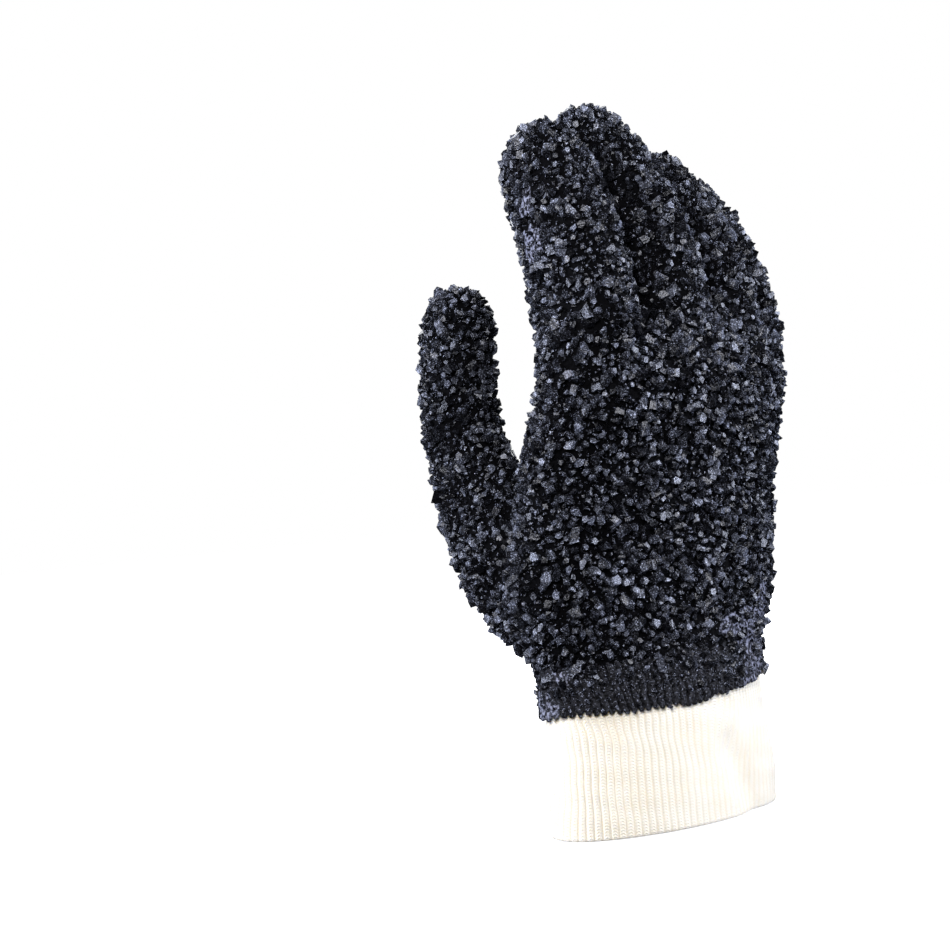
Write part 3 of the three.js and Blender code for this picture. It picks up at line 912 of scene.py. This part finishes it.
def crumb_finish(colours, layer):
    """Angular PVC crumb: tones with painted shade, mottled faces, small pale specks as painted glints."""
    finish = Finish(f"pvc_{layer['name']}")
    tone_and_painted_shade = finish.attribute("tone_and_painted_shade")
    grain = finish.noise(scale=1150.0, detail=4.0)
    # Painted glints: pale specks that stand in for highlights on the chips.
    painted_glint = finish.noise(scale=2300.0, detail=3.0).between(*PAINTED_GLINT_EDGE)
    depth = layer["even"] * tone_and_painted_shade + (1 - layer["even"]) * tone_and_painted_shade ** TONE_POWER
    mottle = 1 - MOTTLED + MOTTLED * grain.between(*MOTTLE_EDGE)
    shade = layer["pale"] * depth * mottle + layer["painted_glints"] * painted_glint * tone_and_painted_shade
    colour = finish.mix(shade, colours.crumb, colours.pale_crumb_and_painted_glint)
    return finish.finish(
        Base_Color=finish.mix(tone_and_painted_shade.between(*WARM_EDGE) * WARM_SHARE, colour, WARM_COLOUR),
        Roughness=CRUMB_ROUGH["least"] + CRUMB_ROUGH["grain"] * grain,
        Normal=finish.bump(grain, distance=0.0003),
        Specular_IOR_Level=layer["shine"],
        Specular_Tint=CRUMB_TINT,
    )


def scattered_places(points, triangles, count, rng):
    """Places spread evenly over triangles, by area, each with its triangle's normal.

    A triangle is drawn by its share of the area, and a place in it by two random numbers, folded back into
    the triangle where their sum passes 1. The points' fourth number, their crease, is blended with the rest.
    """
    corners = points[triangles]
    area = area_vectors(points, triangles)
    size = np.linalg.norm(area, axis=1)
    chosen = rng.choice(len(triangles), count, p=size / size.sum())
    u, v = rng.random((2, count))
    folded = u + v > 1
    u, v = np.where(folded, 1 - u, u), np.where(folded, 1 - v, v)
    a, b, c = (corners[chosen, k] for k in range(3))
    return a + u[:, None] * (b - a) + v[:, None] * (c - a), area[chosen] / size[chosen, None]


# Places are tried this many times over, and two keep apart by this share of the spacing. The margin of empty
# cells keeps the numbers of neighbouring cells apart.
TRIES_PER_PLACE = 3
CLOSEST = 0.8
CELL_MARGIN = 3


def spaced_places(points, normals, spacing):
    """Thins places out, so that no two are closer than the share CLOSEST of the spacing.

    Places fall in cells as wide as the spacing, and one stays in each. Of two that are too close, in
    neighbouring cells, the one of higher random rank goes.
    """
    cells = np.floor(points[:, :3] / spacing).astype(np.int64)
    cells -= cells.min(axis=0)
    span = cells.max(axis=0) + CELL_MARGIN
    keys = ((cells[:, 0] + 1) * span[1] + cells[:, 1] + 1) * span[2] + cells[:, 2] + 1
    first = np.unique(keys, return_index=True)[1]
    points, normals, keys = points[first], normals[first], keys[first]
    rank = np.random.default_rng(SEED).permutation(len(points))
    kept = np.ones(len(points), bool)
    shifts = [(i * span[1] + j) * span[2] + k for i, j, k in product((-1, 0, 1), repeat=3)]
    for shift in [s for s in shifts if s]:
        slot = np.clip(np.searchsorted(keys, keys + shift), 0, len(keys) - 1)
        apart = np.linalg.norm((points[slot] - points)[:, :3], axis=1)
        near = (keys[slot] == keys + shift) & (apart < spacing * CLOSEST)
        kept &= ~(near & (rank[slot] < rank) & kept[slot])
    return points[kept], normals[kept]


def layer_places(points, triangles, layer, half_width, spacing, rng):
    """Places, normals and creases of one layer's chips.

    They are scattered, thinned out, and sparse where the layer starts and where the coating ran smooth.
    """
    area = np.linalg.norm(area_vectors(points, triangles), axis=1).sum() / 2
    tries = int(area / spacing**2 * TRIES_PER_PLACE)
    places, normals = scattered_places(points, triangles, tries, rng)
    places, normals = spaced_places(places, normals, spacing)
    rise = smoothstep(places[:, 2], layer["thin_from"], layer["full_from"])
    chance = layer["least"] + (1.0 - layer["least"]) * rise
    chance *= 1.0 - layer["thins"] * smooth_share(places[:, :3])
    kept = rng.random(len(places)) < chance
    creases = places[kept, 3]
    return places[kept, :3] + normals[kept] * half_width * layer["lift"], normals[kept], creases


# Corners of a chip stray by this share of a step. Its two rings, the lower one first, each have a range of
# reach, a level and a share of the tilt. Grit has one ring, and two ends that shift off its axis.
CORNER_STRAY = 0.3
CHIP_TILT = 0.45
CHIP_RINGS = (
    {"reach": (0.8, 1.15), "level": -0.9, "tilted": 0.3},
    {"reach": (0.5, 0.95), "level": 0.8, "tilted": 1.0},
)
GRIT_REACH = (0.6, 1.2)
GRIT_TILT = 0.5
GRIT_SHIFT = 0.35
GRIT_ENDS = (-1.0, 0.9)


def corner_angles(kinds, sides, rng):
    """Angles of a ring's corners: even steps, each off by a random share of a step."""
    return 2 * np.pi * (np.arange(sides) + rng.uniform(-CORNER_STRAY, CORNER_STRAY, (kinds, sides))) / sides


def chip_ring(reach, angle, level, tilt):
    """A ring of corners: reach times the angle's cosine and sine, on a plane tilted about the centre."""
    x, y = reach * np.cos(angle), reach * np.sin(angle)
    return np.stack([x, y, level + tilt[:, :1] * x + tilt[:, 1:] * y], axis=-1)


def ring_faces(*corners):
    """Triangles from their three rows of corners, where one number is a pole that all of them share."""
    return np.concatenate([np.stack(np.broadcast_arrays(*row), axis=1) for row in corners])


def chip_shapes(kinds, sides, rng):
    """Angular chips, each a prism with a wide foot, a tilted flat top and uneven corners.

    Points lie on a lower and an upper ring, with a pole in the middle of each.
    """
    angle = corner_angles(kinds, sides, rng)
    tilt = rng.uniform(-CHIP_TILT, CHIP_TILT, (kinds, 2))
    rings = [
        chip_ring(rng.uniform(*ring["reach"], (kinds, sides)), angle, ring["level"], tilt * ring["tilted"])
        for ring in CHIP_RINGS
    ]
    poles = [ring.mean(axis=1, keepdims=True) for ring in rings]
    i = np.arange(sides)
    j = (i + 1) % sides
    walls = [(i, j, sides + j), (i, sides + j, sides + i)]
    caps = [(j, i, 2 * sides), (sides + i, sides + j, 2 * sides + 1)]
    return np.concatenate([*rings, *poles], axis=1), ring_faces(*walls, *caps)


def grit_shapes(kinds, sides, rng):
    """Grains of grit: an uneven ring with a point above and one below it."""
    angle = corner_angles(kinds, sides, rng)
    reach = rng.uniform(*GRIT_REACH, (kinds, sides))
    ring = chip_ring(reach, angle, 0.0, rng.uniform(-GRIT_TILT, GRIT_TILT, (kinds, 2)))
    shift = rng.uniform(-GRIT_SHIFT, GRIT_SHIFT, (kinds, 2, 2))
    levels = np.broadcast_to(np.array(GRIT_ENDS)[:, None], (kinds, 2, 1))
    i = np.arange(sides)
    j = (i + 1) % sides
    points = np.concatenate([ring, np.concatenate([shift, levels], axis=2)], axis=1)
    return points, ring_faces((j, i, sides), (i, j, sides + 1))


def chip_turns(normals, rng, tilt):
    """A turning matrix for each chip: any turn about its own axis, which lies near the surface's normal."""
    axis = normals + rng.normal(0.0, tilt, normals.shape)
    axis /= np.linalg.norm(axis, axis=1, keepdims=True)
    side = np.cross(axis, rng.normal(size=normals.shape))
    side /= np.linalg.norm(side, axis=1, keepdims=True)
    return np.stack([side, np.cross(axis, side), axis], axis=-1)


# Chips come in so many kinds of shape. Their widths spread as a lognormal between two shares of the half
# width, and a chip is stretched by shares of its width, sideways and upwards.
SHAPES = {"crumb": chip_shapes, "grit": grit_shapes}
CHIP_KINDS = 24
CHIP_SPREAD = 0.27
CHIP_SIZES = (0.6, 1.6)
CHIP_WIDTHS = (0.75, 1.2)
CHIP_HEIGHTS = (0.65, 1.2)

# Painted shade: a full crease takes this share off a chip's tone, and a chip's lower corners keep only this
# share of it, because little light gets in there.
CREASE_PAINTED_SHADE = 0.95
FOOT_TONE_IN_PAINTED_SHADE = 0.25


def chip_mesh(places, normals, creases, half_width, layer, rng):
    """All chips of one group: each a shape, scaled, turned and put in place, with tone and painted shade."""
    shapes, faces = SHAPES[layer["name"]](CHIP_KINDS, layer["sides"], rng)
    count = len(places)
    width = half_width * np.clip(rng.lognormal(0.0, CHIP_SPREAD, (count, 1)), *CHIP_SIZES)
    flat = rng.uniform(*CHIP_WIDTHS, (count, 2))
    tall = rng.uniform(*CHIP_HEIGHTS, (count, 1))
    scale = width * np.concatenate([flat, tall], axis=1)
    local = shapes[rng.integers(0, len(shapes), count)] * scale[:, None, :]
    turned = np.einsum("nij,nkj->nki", chip_turns(normals, rng, layer["tilt"]), local)
    points = turned + places[:, None, :]
    index = faces[None] + (np.arange(count) * shapes.shape[1])[:, None, None]
    # A random tone with painted shade: darker in creases and, on the lower corners, at the chip's foot.
    tone_and_painted_shade = rng.random(count) * (1.0 - CREASE_PAINTED_SHADE * creases)
    shade = np.where(local[:, :, 2] < 0.0, FOOT_TONE_IN_PAINTED_SHADE, 1.0)
    return points.reshape(-1, 3), index.reshape(-1, 3), (tone_and_painted_shade[:, None] * shade).ravel()


# Where the crumb is split into pieces, and the height that the skin's crumb starts at, in metres.
REGIONS = ("back", "front", "thumb", "fingers")
FINGERS_FROM = 0.178
BACK_UP_TO = -0.004
THUMB_SIDE = -0.03
THUMB_FRONT = 0.012
THUMB_FROM = 0.1
SKIN_FROM = 0.056


def crumb_region(places):
    """The name of the region that each place lies in."""
    x, y, z = places.T
    thumb = (y > THUMB_FRONT) & (x < THUMB_SIDE) & (z > THUMB_FROM)
    region = np.where(y < BACK_UP_TO, "back", "front")
    region = np.where(z > FINGERS_FROM, "fingers", region)
    return np.where(thumb, "thumb", region)


def crumb_ground(skin, triangles, outside, band, quads, band_top):
    """Points and triangles under the crumb: the skin's outside, and the band below its top, uncreased."""
    high = skin[triangles][:, :, 2].min(axis=1) > SKIN_FROM
    outer = triangles[outside[triangles].all(axis=1) & high]
    quads = quads[band[quads][:, :, 2].max(axis=1) < band_top]
    halves = np.concatenate([quads[:, :3], quads[:, [0, 2, 3]]])
    even = np.column_stack([band, np.zeros(len(band))])
    return np.concatenate([skin, even]), np.concatenate([outer, halves + len(skin)])


class GLOVE_OT_coating(Operator):
    """Make the coating's skin and scatter the PVC crumb over it"""

    bl_idname = "glove.coating"
    bl_label = "Coating and crumb"

    def execute(self, context):
        scene = context.scene
        coating, crumb, colours = scene.glove_coating, scene.glove_crumb, scene.glove_colours
        rng = np.random.default_rng(SEED)
        mesh, points, triangles, outside = build_skin(coating, scene.glove_cuff)
        mesh.name = "pvc_skin"
        mesh.materials.clear()
        mesh.materials.append(coating_finish(colours))
        mesh.shade_smooth()
        skin = bpy.data.objects.new("pvc_skin", mesh)
        scene.collection.objects.link(skin)
        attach(skin, "root")
        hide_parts("coated_hand")
        add_attribute(skin, "lining", 1.0 - outside)
        add_attribute(skin, "smooth", smooth_share(points[:, :3]) * outside)
        band, quads, _ = build_band(coating, scene.glove_cuff)
        ground = crumb_ground(points, triangles, outside, band, quads, coating.band_top)
        sizes = {"crumb": (crumb.chip, crumb.spacing), "grit": (crumb.grit, crumb.grit_spacing)}
        for layer in CRUMB_LAYERS:
            half, spacing = sizes[layer["name"]]
            finish = crumb_finish(colours, layer)
            places, normals, creases = layer_places(*ground, layer, half, spacing, rng)
            region = crumb_region(places)
            for part in REGIONS:
                here = region == part
                *chips, tone_and_painted_shade = chip_mesh(places[here], normals[here], creases[here], half, layer, rng)
                piece = add_piece(f"{layer['name']}_{part}", *chips, finish, smooth=False)
                add_attribute(piece, "tone_and_painted_shade", tone_and_painted_shade)
        return {"FINISHED"}


# The photograph's width in pixels, the sensor's in millimetres, the pixel that the aim lands on, and how
# far the camera sees, in metres.
PICTURE = 950
SENSOR = 36.0
AIM_PIXEL = (636.0, 473.0)
CLIP_END = 20.0


def photo_camera(stage):
    """The camera's matrix and focal length.

    It looks along its turn from its distance, leans by the roll, and is panned so that the aim lands on its
    pixel of the picture.
    """
    length = stage.distance / stage.scale
    back = Vector((-math.sin(stage.turn), -math.cos(stage.turn), 0.0))
    forward = -back
    right = forward.cross(Vector((0, 0, 1))).normalized()
    up = right.cross(forward)
    lean_right = right * math.cos(stage.roll) - up * math.sin(stage.roll)
    lean_up = up * math.cos(stage.roll) + right * math.sin(stage.roll)
    middle = PICTURE / 2
    aim = Vector(((AIM_PIXEL[0] - middle) / length, -(AIM_PIXEL[1] - middle) / length, 1.0)).normalized()
    pan = Vector((0, 0, 1)).rotation_difference(aim).to_matrix()
    basis = Matrix((lean_right, lean_up, forward)).transposed() @ pan.transposed()
    matrix = Matrix((basis.col[0], basis.col[1], -basis.col[2])).transposed().to_4x4()
    matrix.translation = Vector((0, 0, stage.height)) + back * stage.distance
    return matrix, length * SENSOR / PICTURE


# Lamps: place in metres, width and height of the soft box, power in watts, and colour.
COOL = (0.88, 0.91, 1.0)
WARM = (1.0, 0.97, 0.93)
FAINT_BLUE = (0.95, 0.97, 1.0)
LAMPS = [
    {"name": "left_box", "at": (-0.944, 0.319, 0.4), "size": (0.3, 0.6), "power": 15, "tint": COOL},
    {"name": "right_box", "at": (0.72, -0.63, 0.3), "size": (0.3, 0.7), "power": 16, "tint": COOL},
    {"name": "front_box", "at": (-0.62, -0.6, 0.5), "size": (0.35, 0.35), "power": 11, "tint": WARM},
    {"name": "back_box", "at": (0.5, 0.8, 0.5), "size": (0.8, 0.8), "power": 7, "tint": FAINT_BLUE},
]
LAMP_AIM = Vector((0.0, 0.0, 0.13))
ROOM_LIGHT = 0.014
ROOM_COLOUR = (0.75, 0.85, 1.0, 1.0)
WHITE = (1.0, 1.0, 1.0)

# The floor reaches so far each way, a little below the hem. It is faintly grained, and its glow grows from
# the first colour to white between these distances from the glove.
FLOOR_REACH = 4.0
FLOOR_DROP = 0.0004
FLOOR_GRAIN = (0.85, 0.85, 0.85)
GRAIN_SHARE = 0.05
GLOW_NEAR = (0.88, 0.88, 0.88)
GLOW_FADE = (0.1, 0.35)


def studio_world():
    """A white backdrop for the camera and a dim, slightly blue room for everything else."""
    world = bpy.data.worlds.new("studio")
    world.use_nodes = True
    tree = world.node_tree
    room = tree.nodes["Background"]
    room.inputs["Color"].default_value = ROOM_COLOUR
    room.inputs["Strength"].default_value = ROOM_LIGHT
    backdrop = tree.nodes.new("ShaderNodeBackground")
    backdrop.inputs["Color"].default_value = (*WHITE, 1.0)
    backdrop.inputs["Strength"].default_value = 1.0
    mixed = tree.nodes.new("ShaderNodeMixShader")
    tree.links.new(tree.nodes.new("ShaderNodeLightPath").outputs["Is Camera Ray"], mixed.inputs[0])
    tree.links.new(room.outputs[0], mixed.inputs[1])
    tree.links.new(backdrop.outputs[0], mixed.inputs[2])
    tree.links.new(mixed.outputs[0], tree.nodes["World Output"].inputs["Surface"])
    return world


def floor_finish(colours):
    """The pale floor: faintly grained, and glowing to white away from the glove."""
    finish = Finish("pale_floor")
    grain = finish.noise(scale=9.0, detail=2.0)
    away = finish.node("ShaderNodeVectorMath", {"operation": "LENGTH"}, {0: finish.place()}, "Value")
    return finish.finish(
        Base_Color=finish.mix(grain * GRAIN_SHARE, colours.floor, FLOOR_GRAIN),
        Roughness=0.9,
        Emission_Color=finish.mix(away.between(*GLOW_FADE), GLOW_NEAR, WHITE),
        Emission_Strength=1.0,
    )


class GLOVE_OT_stage(Operator):
    """Lay the floor, set the lamps and place the camera"""

    bl_idname = "glove.stage"
    bl_label = "Floor, lamps and camera"

    def execute(self, context):
        scene = context.scene
        sides = ((-1, -1), (1, -1), (1, 1), (-1, 1))
        corners = [(x * FLOOR_REACH, y * FLOOR_REACH, -FLOOR_DROP) for x, y in sides]
        mesh = bpy.data.meshes.new("floor")
        mesh.from_pydata(corners, [], [(0, 1, 2, 3)])
        mesh.materials.append(floor_finish(scene.glove_colours))
        floor = bpy.data.objects.new("floor", mesh)
        scene.collection.objects.link(floor)
        floor.visible_glossy = False
        floor.visible_diffuse = False
        for lamp in LAMPS:
            light = bpy.data.lights.new(lamp["name"], "AREA")
            light.shape = "RECTANGLE"
            light.size, light.size_y = lamp["size"]
            light.energy = lamp["power"]
            light.color = lamp["tint"]
            holder = bpy.data.objects.new(lamp["name"], light)
            holder.location = lamp["at"]
            holder.rotation_euler = (LAMP_AIM - holder.location).to_track_quat("-Z", "Y").to_euler()
            scene.collection.objects.link(holder)
        scene.world = studio_world()
        scene.view_settings.view_transform = "Standard"
        camera = bpy.data.cameras.new("photo_camera")
        camera.sensor_width = SENSOR
        matrix, camera.lens = photo_camera(scene.glove_stage)
        camera.clip_end = CLIP_END
        holder = bpy.data.objects.new("photo_camera", camera)
        holder.matrix_world = matrix
        scene.collection.objects.link(holder)
        scene.camera = holder
        return {"FINISHED"}


class GLOVE_PT_panel(Panel):
    """The glove's sizes, colours and steps"""

    bl_idname = "GLOVE_PT_panel"
    bl_label = "Work Glove"
    bl_space_type = "VIEW_3D"
    bl_region_type = "UI"
    bl_category = "Work Glove"

    def draw(self, context):
        layout = self.layout
        for operator, group in STEPS:
            box = layout.box()
            box.operator(operator.bl_idname)
            settings = getattr(context.scene, group)
            for name in type(settings).__annotations__:
                box.prop(settings, name)
        box = layout.box()
        for name in GloveColours.__annotations__:
            box.prop(context.scene.glove_colours, name)


GROUPS = {
    "glove_cuff": CuffSizes,
    "glove_coating": CoatingSizes,
    "glove_crumb": CrumbSizes,
    "glove_colours": GloveColours,
    "glove_stage": StageSizes,
}
STEPS = [
    (GLOVE_OT_cuff, "glove_cuff"),
    (GLOVE_OT_band, "glove_coating"),
    (GLOVE_OT_coating, "glove_crumb"),
    (GLOVE_OT_stage, "glove_stage"),
]
CLASSES = [*GROUPS.values(), *[operator for operator, _ in STEPS], GLOVE_PT_panel]


def register():
    for item in CLASSES:
        bpy.utils.register_class(item)
    for name, group in GROUPS.items():
        setattr(bpy.types.Scene, name, PointerProperty(type=group))


def unregister():
    for name in GROUPS:
        delattr(bpy.types.Scene, name)
    for item in reversed(CLASSES):
        bpy.utils.unregister_class(item)


def main():
    register()
    bpy.ops.glove.cuff()
    bpy.ops.glove.band()
    bpy.ops.glove.coating()
    bpy.ops.glove.stage()


if __name__ == "__main__":
    main()
